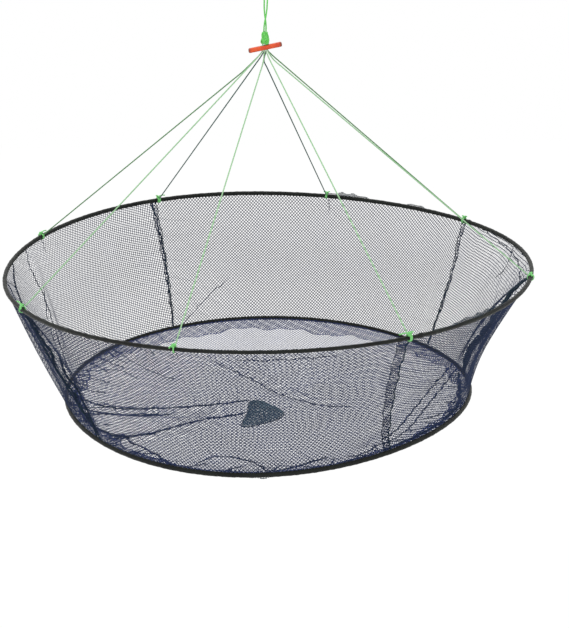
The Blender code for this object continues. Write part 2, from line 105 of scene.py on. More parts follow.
POCKET_CORNERS = (
    (-0.029, 0.010), (-0.007, 0.008), (0.021, -0.029), (0.024, -0.046),
    (0.007, -0.068), (-0.039, -0.089), (-0.033, -0.033),
)
POCKET_EDGE = 0.0015
POCKET_PUFF = 0.0070
POCKET_CLEARANCE = 0.0008

BAR_CENTRE = Vector((-0.0032, 0.0, -0.0987))
BAR_SIZE = (0.0500, 0.0090, 0.0067)
BAR_TILT = math.radians(11.0)
KNOT_HEIGHT = 0.0190
KNOT_WIDTH = 0.0130
KNOT_FLAT = 0.0034

# Bridles: angle of the tie, column and row in the slot, the point passed below the bar.
SLOT_PITCH = 0.0025
BRIDLES = (
    (32.9, 1.5, 0.5, (0.0105, 0.0045, -0.0125)),
    (74.2, 0.5, 0.5, (-0.0026, 0.0016, -0.0190)),
    (118.6, -0.5, 0.5, (-0.0055, 0.0090, -0.0135)),
    (158.5, -1.5, 0.5, (-0.0310, -0.0160, -0.0305)),
    (210.8, -1.5, -0.5, (-0.0120, -0.0080, -0.0140)),
    (252.3, -0.5, -0.5, (-0.0030, -0.0018, -0.0210)),
    (297.6, 0.5, -0.5, (0.0045, -0.0075, -0.0130)),
    (344.7, 1.5, -0.5, (0.0110, -0.0045, -0.0165)),
)
BRIDLE_EASE = 0.0032
BRIDLE_LEAVES = 0.70
BRIDLE_RUN = (0.05, 0.35, 0.70)
TIE_SLACK = 0.0007
# One strand of the loop: x, y and height, where None is the top of the knot.
LOOP_STRAND = (
    (-0.0015, 0.0000, None), (-0.0015, -0.0005, -0.0700), (-0.0008, -0.0016, -0.0620),
    (0.0008, -0.0016, -0.0530), (0.0020, -0.0005, -0.0420), (0.0023, 0.0000, -0.0300),
    (0.0031, 0.0000, -0.0160), (0.0032, 0.0000, -0.0060), (0.0020, 0.0000, -0.0015),
)
LOOP_LEAN = -0.0032

# ---- finer dimensions of the looks
MESH = 0.0040                           # from one netting strand to the next
WALL_STRAND = (0.00110, 0.00035)        # a strand is a flat ribbon: its width and height
BOTTOM_STRAND = (0.00105, 0.00025)      # the same in the bottom
HEM_STRAND = (0.00140, 0.00025)         # and in its hem, where the netting lies double
TUCK_STRAND = (0.00105, 0.00060)        # and where it lies bunched in a crease or a seam
POCKET_STRAND = (0.00085, 0.00045)
STRAND_SAMPLE = 0.0016          # a strand's shape is worked out at this spacing
# Of a strand's samples, one in so many is kept where it runs straight, every second one where it stands
# this far off its neighbours' line, and all that stand the last figure off it.
WALL_THINNING = (5, 0.00012, 0.00012)
BOTTOM_THINNING = (6, 0.00016, 0.00080)
LAYER = 0.00030                 # the strands of one direction lie this far outside the middle
PANEL_OFFSET = 0.0006           # neighbouring panels lie this far either side of the middle
GRID_TURNS = (52.0, 52.0, 50.0, 8.0)    # how each panel's strands lie in the flat cloth, in degrees
BOTTOM_TURN = 45.0
WANDER = 0.0022                 # how far the strands stray from a true grid
WANDER_LENGTH = 0.17
GRID_MARGIN = 0.03              # the strands are cut this much longer than the cloth
PANEL_MARGIN = 6.0              # creases this many degrees past a panel's edges still draw it in

# Where the panels meet: angle at the upper and at the lower hoop, bow, power, and the half width of the
# lap at the upper hoop, half way down and at the lower hoop.
Seam = namedtuple("Seam", "upper lower bow power laps")
WALL_SEAMS = (
    Seam(32.8, 31.0, -3.4, 1.0, (0.0038, 0.0012, 0.0007)),
    Seam(120.2, 121.4, 0.0, 1.0, (0.0050, 0.0030, 0.0009)),
    Seam(210.0, 219.0, 0.0, 4.0, (0.0030, 0.0030, 0.0030)),
    Seam(296.6, 302.0, 0.0, 0.9, (0.0075, 0.0078, 0.0055)),
)

# Creases: points along the line, its width once drawn together, the small folds across it, and the strands
# of netting that lie bunched in it.
Crease = namedtuple("Crease", "points width folds core", defaults=(1, 0))
Cloth = namedtuple("Cloth", "point normal")     # where places in a flat cloth come out, and the way they face
DRAWN_CLOTH = 4.3               # netting that goes into a crease, for each width of it
CREASE_REACH = 0.11             # how far off the netting is still drawn towards a crease
FOLD_RISE = 0.15                # height of a small fold, for each width of netting in it

# In the wall, the points are angle and share down the wall. First the gather below the left tie, then the
# slack netting beyond it, the rear, the gather below the right tie, and short ones below the ties.
WALL_CREASES = (
    Crease(((210, -0.10), (210, 0.20), (211, 0.35), (210, 0.50), (212, 0.65), (214, 0.85), (219, 0.95),
            (224, 1.10)), 0.0036, 1, 9),
    Crease(((210, -0.10), (212, 0.15), (213, 0.35), (212, 0.50), (214, 0.65), (216, 0.85), (220, 1.00)),
           0.0028, 1, 7),
    Crease(((210, 0.00), (209, 0.25), (209, 0.45), (211, 0.70), (215, 0.90)), 0.0018, 1, 4),
    Crease(((165, -0.10), (169, 0.10), (170, 0.35), (174, 0.75), (176, 1.10)), 0.0013, 1, 2),
    Crease(((167, 0.25), (173, 0.50), (177, 0.75)), 0.0011, 1, 1),
    Crease(((158, -0.10), (160, 0.15)), 0.0013),
    Crease(((174, -0.10), (179, 0.05), (183, 0.10), (189, 0.30), (191, 0.45)), 0.0028, 1, 5),
    Crease(((187, -0.10), (192, 0.20), (196, 0.40)), 0.0016, 1, 2),
    Crease(((120.5, -0.10), (120.5, 0.40), (121, 0.70), (121.5, 1.10)), 0.0013, 1, 3),
    Crease(((29, 0.40), (29, 0.70), (31, 1.10)), 0.0010, 1, 3),
    Crease(((121, 1.05), (111, 0.85), (101, 0.65)), 0.0011),
    Crease(((345, -0.10), (348, 0.05), (348, 0.25), (351, 0.45), (356, 0.60), (362, 0.75), (369, 1.10)),
           0.0022, 1, 12),
    Crease(((345, -0.10), (347, 0.15), (350, 0.35), (355, 0.55), (361, 0.75), (368, 1.10)), 0.0030, 1, 26),
    Crease(((350, 0.20), (356, 0.45), (361, 0.65), (367, 0.90)), 0.0015, 1, 4),
    Crease(((386, 0.00), (365, 0.05), (350, 0.10)), 0.0016, 1, 1),
    Crease(((372, -0.10), (367, 0.15), (369, 0.25)), 0.0012, 1, 1),
    Crease(((297, -0.10), (294, 0.10), (292, 0.15)), 0.0013),
    Crease(((262, 0.05), (276, 0.05), (285, 0.05)), 0.0013),
    Crease(((74, -0.10), (73, 0.15)), 0.0010),
    Crease(((252, -0.10), (253, 0.15)), 0.0010),
)

# In the bottom, they are x and y from the lower hoop's centre. First the band inside the left rim and the
# creases that run from it to the pocket, then the front, the right rim, and the middle and rear.
BOTTOM_LINES = (
    Crease(((-0.320, 0.075), (-0.305, 0.000), (-0.295, -0.050), (-0.260, -0.145), (-0.205, -0.175)),
           0.0055, 2, 12),
    Crease(((-0.230, -0.160), (-0.170, -0.215), (-0.125, -0.300)), 0.0030, 1, 5),
    Crease(((-0.235, -0.185), (-0.180, -0.145), (-0.120, -0.075), (-0.035, -0.030)), 0.0032, 1, 7),
    Crease(((-0.330, -0.030), (-0.255, -0.040), (-0.170, -0.020), (-0.080, 0.005), (-0.030, 0.020)),
           0.0026, 1, 6),
    Crease(((-0.330, -0.060), (-0.255, -0.070), (-0.200, -0.050), (-0.150, -0.030)), 0.0026, 1, 6),
    Crease(((-0.320, -0.125), (-0.250, -0.075), (-0.205, -0.045), (-0.170, -0.035)), 0.0032, 1, 5),
    Crease(((-0.100, -0.245), (-0.075, -0.210), (-0.025, -0.235), (0.005, -0.320)), 0.0023, 1, 3),
    Crease(((-0.020, -0.325), (0.020, -0.290), (0.060, -0.255), (0.085, -0.235)), 0.0042, 2, 5),
    Crease(((0.075, -0.315), (0.105, -0.285), (0.150, -0.260)), 0.0030, 1, 5),
    Crease(((0.325, 0.095), (0.250, -0.060), (0.195, -0.180), (0.120, -0.260)), 0.0015, 1, 3),
    Crease(((0.320, 0.110), (0.245, -0.035), (0.185, -0.170), (0.165, -0.200)), 0.0015, 1, 3),
    Crease(((0.310, 0.045), (0.300, -0.050), (0.285, -0.110), (0.240, -0.180), (0.165, -0.250)),
           0.0045, 2, 12),
    Crease(((-0.105, 0.190), (-0.020, 0.105), (0.020, 0.050), (0.100, -0.005), (0.135, -0.020)),
           0.0015, 1, 2),
    Crease(((-0.070, 0.160), (-0.015, 0.135), (0.055, 0.050), (0.075, 0.030)), 0.0013),
    Crease(((-0.005, 0.025), (0.055, 0.070), (0.105, 0.095)), 0.0014),
    Crease(((-0.275, 0.180), (-0.200, 0.130), (-0.155, 0.105)), 0.0017, 1, 2),
    Crease(((-0.310, 0.070), (-0.245, 0.105), (-0.215, 0.085)), 0.0015, 1, 2),
)
# The bottom's hem lies double inside its hoop: widths of the doubled band, by angle.
HEM_WIDTHS = ((0.0, 0.016), (40.0, 0.024), (70.0, 0.036), (95.0, 0.026), (120.0, 0.034), (160.0, 0.016),
              (200.0, 0.026), (235.0, 0.020), (275.0, 0.014), (300.0, 0.018), (330.0, 0.024), (360.0, 0.016))
HEM_TURN = 61.0

# Where the netting's sewn edge stands proud of a hoop: the hoop, from and to what angle, up or down, how far.
RUFFLES = (
    (UPPER, 60.0, 77.0, 1.0, 0.0080),
    (UPPER, 43.0, 55.0, 1.0, 0.0050),
    (UPPER, 303.0, 328.0, 1.0, 0.0070),
    (LOWER, 260.0, 276.0, -1.0, 0.0030),
)
RUFFLE_MESH = 0.0022

CREASE_WAVER = 0.0011           # how far a crease's line strays to either side
CREASE_RAMP = 0.026             # a crease starts and ends over this length
CREASE_SPACING = 0.008          # a crease's line is followed at this spacing
PLACING_SPREAD = 4.0            # how gradual a crease's pull is taken to be while lines are placed
PLACING_ROUNDS = 6
CORE_SAMPLE = 0.0030            # spacing along the strands that lie bunched in a crease
CORE_SPACE = 0.00045            # and how far apart they lie, side by side
CORE_WEAVE = 0.034              # the strands weave from side to side over about this length
SMALL_FOLD = 0.06               # how far small folds lie back, as a share of their width

# Where the upper hoop's sleeve is swollen by a seam: angle, half width, height.
SWELLINGS = ((31.0, 0.9, 0.0010), (300.2, 0.9, 0.0010))

# Short gathers where the bottom is sewn to its hoop, from and to these angles.
RIM_GATHERS = 34
RIM_ARC = (128.0, 350.0)


# ---- camera, light and floor
def add_object(name, data):
    """An object in the scene, of a camera, a light or a mesh."""
    made = bpy.data.objects.new(name, data)
    bpy.context.scene.collection.objects.link(made)
    return made


def set_inputs(node, values):
    for name, value in values.items():
        node.inputs[name].default_value = value


def make_camera():
    """The view from the front and above."""
    back_and_up = Vector((0.0, -2.0607, 0.6461))
    pan, tip, lean = 0.0124, 0.3427, -0.0104
    forward = Vector((math.sin(pan) * math.cos(tip), math.cos(pan) * math.cos(tip), -math.sin(tip)))
    level = Vector((math.cos(pan), -math.sin(pan), 0.0))
    above = level.cross(forward)
    right = level * math.cos(lean) + above * math.sin(lean)
    up = above * math.cos(lean) - level * math.sin(lean)
    data = bpy.data.cameras.new("camera")
    data.lens = 80.07
    data.sensor_width = 36.0
    data.clip_start = 0.05
    data.clip_end = 40.0
    camera = add_object("camera", data)
    turned = Matrix((right, up, -forward)).transposed().to_4x4()
    camera.matrix_world = Matrix.Translation(Vector(UPPER.centre) + back_and_up) @ turned
    bpy.context.scene.camera = camera


def make_area_light(name, place, target, size, power):
    data = bpy.data.lights.new(name, "AREA")
    data.size = size
    data.energy = power
    light = add_object(name, data)
    light.location = place
    light.rotation_euler = (Vector(target) - Vector(place)).to_track_quat("-Z", "Y").to_euler()


def make_studio():
    """An even white surround, two large soft lights, and a pale floor well below the net."""
    scene = bpy.context.scene
    scene.view_settings.view_transform = "Standard"
    world = bpy.data.worlds.new("studio")
    world.use_nodes = True
    set_inputs(world.node_tree.nodes["Background"], {"Color": (1.0, 1.0, 1.0, 1.0), "Strength": 1.0})
    scene.world = world
    middle = (0.0, 0.0, -0.5)
    make_area_light("key_light", (-1.2, -1.8, 1.9), middle, 1.2, 14.0)
    make_area_light("top_light", (0.6, 0.8, 2.4), middle, 2.0, 10.0)
    reach = 6.0
    floor_height = -1.60
    mesh = bpy.data.meshes.new("floor")
    corners = ((-reach, -reach), (reach, -reach), (reach, reach), (-reach, reach))
    mesh.from_pydata([(*corner, floor_height) for corner in corners], [], [(0, 1, 2, 3)])
    floor = add_object("floor", mesh)
    material, shader, _ = new_material("floor_white", (0.30, 0.30, 0.30), 0.9, 0.0)
    set_inputs(shader, {"Emission Color": (1.0, 1.0, 1.0, 1.0), "Emission Strength": 0.70})
    mesh.materials.append(material)


# ---- materials
def new_material(name, colour, roughness, specular=0.5):
    """A material with its Principled shader: returns the material, the shader and the node tree."""
    material = bpy.data.materials.new(name)
    material.use_nodes = True
    tree = material.node_tree
    shader = tree.nodes["Principled BSDF"]
    set_inputs(shader, {"Base Color": (*colour, 1.0), "Roughness": roughness, "Specular IOR Level": specular})
    return material, shader, tree


def add_texture(tree, kind, place, **values):
    """A texture node over the given coordinates, with its inputs set by name."""
    node = tree.nodes.new(kind)
    set_inputs(node, values)
    tree.links.new(place, node.inputs["Vector"])
    return node


def object_place(tree):
    return tree.nodes.new("ShaderNodeTexCoord").outputs["Object"]


def cloth_place(tree):
    return tree.nodes.new("ShaderNodeUVMap").outputs["UV"]


def colour_ramp(tree, texture, stops, shader):
    """Base colour by a texture's height. Stops are two heights, each with its colour."""
    ramp = tree.nodes.new("ShaderNodeValToRGB")
    for element, (height, colour) in zip(ramp.color_ramp.elements, stops):
        element.position = height
        element.color = (*colour, 1.0)
    tree.links.new(texture.outputs["Fac"], ramp.inputs["Fac"])
    tree.links.new(ramp.outputs["Color"], shader.inputs["Base Color"])


def blotches(tree, scale, dark, pale, shader):
    """Colour that drifts between dark and pale over the surface."""
    noise = add_texture(tree, "ShaderNodeTexNoise", object_place(tree), Scale=scale, Detail=4.0)
    colour_ramp(tree, noise, ((0.32, dark), (0.68, pale)), shader)


def add_bump(tree, height, shader, strength, distance):
    bump_node = tree.nodes.new("ShaderNodeBump")
    set_inputs(bump_node, {"Strength": strength, "Distance": distance})
    tree.links.new(height, bump_node.inputs["Height"])
    tree.links.new(bump_node.outputs["Normal"], shader.inputs["Normal"])


def netting_material(name, dark, pale):
    """Matte twisted yarn, a little uneven in colour."""
    material, shader, tree = new_material(name, pale, 0.75, 0.12)
    blotches(tree, 22.0, dark, pale, shader)
    twist = add_texture(tree, "ShaderNodeTexNoise", object_place(tree), Scale=2600.0, Detail=2.0)
    add_bump(tree, twist.outputs["Fac"], shader, 0.5, 0.0003)
    return material


def sleeve_material():
    """Black-olive woven tape: two crossing sets of fine ribs."""
    material, shader, tree = new_material("sleeve_cloth", (0.020, 0.022, 0.018), 0.42, 0.22)
    blotches(tree, 30.0, (0.003, 0.004, 0.003), (0.009, 0.012, 0.009), shader)
    weave = tree.nodes.new("ShaderNodeMath")
    weave.operation = "MULTIPLY"
    for direction, socket in zip("XY", weave.inputs):
        rib = add_texture(tree, "ShaderNodeTexWave", cloth_place(tree), Scale=1.0, Distortion=0.4)
        rib.bands_direction = direction
        tree.links.new(rib.outputs["Fac"], socket)
    add_bump(tree, weave.outputs["Value"], shader, 0.5, 0.0004)
    return material


def cord_material(name, dark, pale, roughness):
    """Braided cord: pale yarns with painted shade in the grooves between them, along a twist."""
    material, shader, tree = new_material(name, pale, roughness)
    braid = add_texture(tree, "ShaderNodeTexWave", cloth_place(tree), Scale=1.0, Distortion=0.6)
    braid.bands_direction = "DIAGONAL"
    # Painted shade: the dark colour lies in the grooves between the yarns.
    colour_ramp(tree, braid, ((0.10, dark), (0.55, pale)), shader)
    add_bump(tree, braid.outputs["Fac"], shader, 0.4, 0.0003)
    return material


def bar_material():
    """Moulded orange plastic, faintly mottled, with painted shade darkening its ends."""
    material, shader, tree = new_material("bar_plastic", (0.85, 0.13, 0.03), 0.38)
    blotches(tree, 120.0, (0.62, 0.050, 0.007), (0.82, 0.105, 0.015), shader)
    mottled = shader.inputs["Base Color"].links[0].from_socket
    apart = tree.nodes.new("ShaderNodeVectorMath")
    apart.operation = "DISTANCE"
    tree.links.new(object_place(tree), apart.inputs[0])
    apart.inputs[1].default_value = BAR_CENTRE
    # Painted shade: the colour turns dark brown towards the bar's ends.
    end_shade_share = tree.nodes.new("ShaderNodeMapRange")
    set_inputs(end_shade_share, {"From Min": BAR_SIZE[0] * 0.42, "From Max": BAR_SIZE[0] * 0.50})
    tree.links.new(apart.outputs["Value"], end_shade_share.inputs["Value"])
    ends = tree.nodes.new("ShaderNodeMix")
    ends.data_type = "RGBA"
    middle_colour, end_shade_colour = [socket for socket in ends.inputs if socket.type == "RGBA"]
    mixed = [socket for socket in ends.outputs if socket.type == "RGBA"][0]
    tree.links.new(end_shade_share.outputs["Result"], ends.inputs["Factor"])
    tree.links.new(mottled, middle_colour)
    end_shade_colour.default_value = (0.16, 0.032, 0.014, 1.0)
    tree.links.new(mixed, shader.inputs["Base Color"])
    grain = add_texture(tree, "ShaderNodeTexNoise", object_place(tree), Scale=900.0, Detail=3.0)
    add_bump(tree, grain.outputs["Fac"], shader, 0.15, 0.0002)
    return material


# ---- meshes
def add_piece(name, points, faces, material, replaced, uv=None):
    """A mesh piece from arrays of points and faces, riding on the body."""
    mesh = bpy.data.meshes.new(name)
    count, sides = faces.shape
    mesh.vertices.add(len(points))
    mesh.vertices.foreach_set("co", np.asarray(points, dtype=np.float32).ravel())
    mesh.loops.add(count * sides)
    mesh.loops.foreach_set("vertex_index", faces.astype(np.int32).ravel())
    mesh.polygons.add(count)
    mesh.polygons.foreach_set("loop_start", np.arange(0, count * sides, sides, dtype=np.int32))
    mesh.update(calc_edges=True)
    mesh.shade_smooth()
    if uv is not None:
        layer = mesh.uv_layers.new(name="UVMap")
        layer.data.foreach_set("uv", np.asarray(uv, dtype=np.float32).ravel())
    mesh.materials.append(material)
    piece = add_object(name, mesh)
    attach(piece, BODY)
    if replaced:
        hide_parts(*replaced)
    return piece


def smooth_curve(route, spacing):
    """Points about spacing apart on a centripetal Catmull-Rom curve through the route's points."""
    route = [Vector(p) for p in route]
    ends = [route[0] * 2.0 - route[1]] + route + [route[-1] * 2.0 - route[-2]]
    points = [route[0]]
    for a, b, c, d in zip(ends, ends[1:], ends[2:], ends[3:]):
        ta = 0.0
        tb = ta + math.sqrt((b - a).length)
        tc = tb + math.sqrt((c - b).length)
        td = tc + math.sqrt((d - c).length)
        steps = max(1, round((c - b).length / spacing))
        for step in range(1, steps + 1):
            t = tb + (tc - tb) * step / steps
            ab = a.lerp(b, (t - ta) / (tb - ta))
            bc = b.lerp(c, (t - tb) / (tc - tb))
            cd = c.lerp(d, (t - tc) / (td - tc))
            abc = ab.lerp(bc, (t - ta) / (tc - ta))
            bcd = bc.lerp(cd, (t - tb) / (td - tb))
            points.append(abc.lerp(bcd, (t - tb) / (tc - tb)))
    return points


def carried_frames(points):
    """Two directions across the line at each point, carried along it without twist."""
    points = [Vector(p) for p in points]
    ahead = [(b - a).normalized() for a, b in zip(points, points[1:])]
    ahead.append(ahead[-1])
    side = ahead[0].orthogonal().normalized()
    sides = []
    for way in ahead:
        side = (side - way * side.dot(way)).normalized()
        sides.append(side)
    return np.array(sides), np.array([w.cross(s) for w, s in zip(ahead, sides)])


def unit(arrows):
    """Arrows, each brought to length 1."""
    return arrows / np.linalg.norm(arrows, axis=-1, keepdims=True)


def outward_way(degrees):
    """The level way outwards at each angle."""
    return np.stack((np.cos(np.radians(degrees)), np.sin(np.radians(degrees)), 0.0 * degrees), axis=-1)


def polar(flat):
    """The distance and the angle in degrees of each flat place."""
    return np.hypot(flat[..., 0], flat[..., 1]), np.degrees(np.arctan2(flat[..., 1], flat[..., 0]))


def left_of(ways):
    """Flat ways turned to their left."""
    return np.stack((-ways[..., 1], ways[..., 0]), axis=-1)


def lengths_past(line):
    """How far along a line each of its points lies."""
    return np.concatenate(([0.0], np.cumsum(np.linalg.norm(np.diff(line, axis=0), axis=1))))


def joined_rings(index):
    """Faces between each ring of point numbers and the next."""
    right = np.roll(index, -1, axis=1)
    return np.stack((index[:-1], right[:-1], right[1:], index[1:]), axis=-1).reshape(-1, 4)


def rings_about(line, side, other, turn, radius):
    """Rings of points about a line, turning from side towards other."""
    across = side[:, None, :] * np.cos(turn)[:, None] + other[:, None, :] * np.sin(turn)[:, None]
    return line[:, None, :] + across * radius[..., None]


def cord_arrays(points, diameter, strands=3, lay=3.2, around=10):
    """Rings of a laid cord: its outline shows the strands, which turn once in lay diameters."""
    line = np.array([tuple(p) for p in points])
    rows = len(line)
    along = lengths_past(line)
    turn = 2.0 * np.pi * np.arange(around) / around
    twist = 2.0 * np.pi * along / (lay * diameter)
    swell = np.abs(np.cos(strands / 2.0 * (turn - twist[:, None])))
    rings = rings_about(line, *carried_frames(points), turn, diameter / 2.0 * (0.84 + 0.16 * swell))
    index = np.arange(rows * around).reshape(rows, around)
    caps = np.array([(k, k + 1, around - 2 - k, around - 1 - k) for k in range(around // 2 - 1)])
    faces = np.concatenate((joined_rings(index), caps[:, ::-1], caps + (rows - 1) * around))
    uv = np.broadcast_arrays(along[:, None] / diameter, np.arange(around) / around * strands)
    return rings.reshape(-1, 3), faces, np.stack(uv, axis=-1).reshape(-1, 2)


def cord_piece(name, lines, diameter, material, replaced=()):
    """One piece from one or more cord lines."""
    points, faces, uv = [], [], []
    start = 0
    for line in lines:
        ring, quads, uv_points = cord_arrays(line, diameter)
        points.append(ring)
        faces.append(quads + start)
        uv.append(uv_points[quads.reshape(-1)])
        start += len(ring)
    return add_piece(name, np.concatenate(points), np.concatenate(faces), material, replaced,
                     np.concatenate(uv))


# ---- hoops and wall surfaces
def waves(rows, degrees):
    """The sum of a hoop's warp rows at the given angles."""
    total = 0.0
    for size, count, crest in rows:
        total = total + size * np.cos(count * np.radians(degrees - crest))
    return total


def hoop_point(hoop, degrees):
    """The centre of a hoop's wire at the given angles, as an array of points."""
    degrees = np.asarray(degrees, dtype=float)
    radius = hoop.radius + waves(hoop.out_of_round, degrees)
    points = outward_way(degrees) * radius[..., None] + hoop.centre
    points[..., 2] += waves(hoop.out_of_level, degrees)
    return points


def bump(distance, half_width):
    """A smooth hump, 1 in the middle and 0 from half_width on."""
    share = np.clip(np.abs(distance) / half_width, 0.0, 1.0)
    return 0.5 + 0.5 * np.cos(np.pi * share)


def turn_between(degrees, centre):
    """The signed angle from centre to degrees, between -180 and 180."""
    return (degrees - centre + 180.0) % 360.0 - 180.0


def mean_radius(down):
    return UPPER.radius + (LOWER.radius - UPPER.radius) * down


def seam_angle(seam, down):
    """The angle of a seam at the given shares down the wall."""
    down = np.clip(down, 0.0, 1.0)
    return seam.upper + (seam.lower - seam.upper) * down ** seam.power + seam.bow * np.sin(np.pi * down)


def wall_point(degrees, down, lift=0.0):
    """The middle of the wall's netting, lifted outwards by its small folds."""
    inset = np.array((0.0, 0.0, HOOP_SEAT - NET_THICKNESS))
    top = hoop_point(UPPER, degrees) - inset
    point = top + (hoop_point(LOWER, degrees) + inset - top) * down[..., None]
    slack = np.clip(np.sin(np.pi * down), 0.0, 1.0) ** SLACK_POWER
    draw = WAIST + WAIST_SWING * np.cos(np.radians(degrees - WAIST_ANGLE))
    ripple = RIPPLE * np.sin(np.radians(RIPPLE_WAVES * degrees) + RIPPLE_LEAN * down)
    out = slack * (ripple - draw)
    for upper_angle, lower_angle, half_width, depth in WALL_FOLDS:
        middle = upper_angle + (lower_angle - upper_angle) * down
        arc = np.radians(turn_between(degrees, middle)) * mean_radius(down)
        out = out + depth * bump(arc, half_width) * slack
    out = out + lift * np.clip(np.sin(np.pi * down) * 4.0, 0.0, 1.0)
    return point + outward_way(degrees) * out[..., None]


def wall_normal(degrees, down):
    """The outward normal of the wall's netting, by small differences."""
    turn = 0.10
    fall = 0.005
    around = wall_point(degrees + turn, down) - wall_point(degrees - turn, down)
    low, high = np.clip(down + fall, 0.0, 1.0), np.clip(down - fall, 0.0, 1.0)
    return unit(np.cross(wall_point(degrees, low) - wall_point(degrees, high), around))


# ---- creases
def crease_line(crease):
    """A crease's line in the flat cloth, as closely spaced points."""
    route = smooth_curve([(*p, 0.0) for p in crease.points], CREASE_SPACING)
    line = np.array([(p.x, p.y) for p in route])
    count = np.arange(len(line))
    stray = np.sin(1.45 * count + 40.0 * line[0, 0]) + 0.6 * np.sin(2.9 * count + 70.0 * line[0, 1])
    return line + left_of(unit(np.gradient(line, axis=0))) * (CREASE_WAVER * stray)[:, None]


def beside_line(line, points):
    """For flat points: distance to the left of a line, the way left, and distance along from its ends."""
    arrows = np.diff(line, axis=0)
    lengths = np.linalg.norm(arrows, axis=1)
    ways = arrows / lengths[:, None]
    past = lengths_past(line)
    nearest = np.full(points.shape[:-1], 1e9)
    left = np.zeros_like(nearest)
    along = np.zeros_like(nearest)
    side = np.zeros(points.shape)
    for start, way, length, before in zip(line, ways, lengths, past):
        offset = points - start
        run = np.clip(offset @ way, 0.0, length)
        reach = polar(offset - run[..., None] * way)[0]
        closer = reach < nearest
        nearest = np.where(closer, reach, nearest)
        turned = np.where(way[0] * offset[..., 1] - way[1] * offset[..., 0] < 0.0, -1.0, 1.0)
        left = np.where(closer, reach * turned, left)
        along = np.where(closer, before + run, along)
        side = np.where(closer[..., None], left_of(way), side)
    return left, side, np.minimum(along, past[-1] - along)


def crease_shift(crease, line, points, spread=1.0):
    """How a crease draws flat points in, and how far its small folds lift them.

    A spread above 1 makes the change across the crease that much more gradual, and leaves out its folds.
    """
    left, side, ends = beside_line(line, points)
    ramp = np.clip(ends / CREASE_RAMP, 0.0, 1.0)
    amount = ramp * ramp * (3.0 - 2.0 * ramp)
    cloth = crease.width * DRAWN_CLOTH
    half = cloth / 2.0 * spread
    share = np.clip(left / half, -1.0, 1.0)
    fade = np.clip((CREASE_REACH - np.abs(left)) / (CREASE_REACH - half), 0.0, 1.0)
    drawn = (cloth - crease.width) * 0.5 * (share + np.sin(np.pi * share) / np.pi) * fade
    if spread > 1.0:
        return -side * (drawn * amount)[..., None], 0.0
    window = 0.5 + 0.5 * np.cos(np.pi * share)
    drawn = drawn + SMALL_FOLD * cloth / crease.folds * np.sin(2.0 * np.pi * crease.folds * share) * window
    lift = FOLD_RISE * cloth / crease.folds * np.cos(2.0 * np.pi * (crease.folds - 0.5) * share) * window
    return -side * (drawn * amount)[..., None], lift * amount


def place_creases(creases):
    """Each crease with its line in the flat cloth, set so that it comes out at its named points."""
    lines = [crease_line(crease) for crease in creases]
    placed = list(lines)
    for _ in range(PLACING_ROUNDS):
        updated = []
        for index, line in enumerate(lines):
            shift = np.zeros_like(line)
            for other, crease in enumerate(creases):
                if other != index:
                    shift = shift + crease_shift(crease, placed[other], placed[index], PLACING_SPREAD)[0]
            updated.append(line - shift)
        placed = updated
    return list(zip(creases, placed))


def draw_in(points, placed):
    """Flat points once every crease has drawn them in, and their lift."""
    moved = points.copy()
    lift = np.zeros(points.shape[:-1])
    for crease, line in placed:
        shift, raised = crease_shift(crease, line, points)
        moved = moved + shift
        lift = lift + raised
    return moved, lift


# ---- strands
def grid_lines(low, high, turn, phase):
    """Samples along the lines of a square grid over a box, turned by the given degrees."""
    centre = (np.array(low) + np.array(high)) / 2.0
    reach = np.linalg.norm(np.array(high) - np.array(low)) / 2.0
    along = np.arange(-reach, reach, STRAND_SAMPLE)
    offsets = np.arange(-reach, reach, MESH) + phase * MESH
    way = outward_way(turn)[:2]
    points = centre + offsets[:, None, None] * left_of(way) + along[:, None] * way
    stray = np.sin(2.0 * np.pi * points[..., 0] / WANDER_LENGTH + 1.3)
    stray = stray + np.sin(2.0 * np.pi * points[..., 1] / (WANDER_LENGTH * 0.7) + 0.4)
    return points + left_of(way) * (WANDER * 0.5 * stray)[..., None]


def runs_of(inside):
    """The index ranges, along the last axis, of each unbroken run of True."""
    padded = np.pad(inside, ((0, 0), (1, 1)))
    change = np.diff(padded.astype(np.int8), axis=1)
    rows, first = np.nonzero(change == 1)
    last = np.nonzero(change == -1)[1]
    return [(r, a, b) for r, a, b in zip(rows, first, last) if b - a >= 3]


def thin_run(points, thinning):
    """Indices of a run's samples to keep: its ends, one in a few, and more where it bends."""
    often, bend, turn = thinning
    index = np.arange(len(points))
    off = np.zeros(len(points))
    off[1:-1] = np.linalg.norm(points[1:-1] - (points[:-2] + points[2:]) / 2.0, axis=1)
    keep = (index % often == 0) | ((off > bend) & (index % 2 == 0)) | (off > turn)
    keep[0] = True
    keep[-1] = True
    return np.nonzero(keep)[0]


def strand_arrays(runs, width, height):
    """Flat strands of three faces, open at their ends. Each run has points and the way its back faces."""
    corners = np.array(((-width / 2.0, -height / 3.0), (width / 2.0, -height / 3.0),
                        (0.0, height * 2.0 / 3.0)))
    rings, faces = [], []
    start = 0
    for points, normals in runs:
        ahead = unit(np.gradient(points, axis=0))
        side = unit(np.cross(ahead, normals))
        up = np.cross(side, ahead)
        ring = points[:, None, :] + side[:, None, :] * corners[:, :1] + up[:, None, :] * corners[:, 1:]
        rings.append(ring.reshape(-1, 3))
        faces.append(joined_rings(start + np.arange(len(points) * 3).reshape(-1, 3)))
        start += len(points) * 3
    return np.concatenate(rings), np.concatenate(faces)


def netting_runs(grids, placed, inside, cloth, thinning, offset=0.0, layer=LAYER):
    """The strands of cloth cut flat: drawn in by its placed creases, and kept where inside says so."""
    made = []
    for flat, side in grids:
        moved, lift = draw_in(flat, placed)
        for row, a, b in runs_of(inside(moved)):
            run = moved[row, a:b]
            points = cloth.point(run, lift[row, a:b])
            keep = thin_run(points, thinning)
            normals = cloth.normal(run[keep])
            made.append((points[keep] + normals * (offset + side * layer), normals * side))
    return made


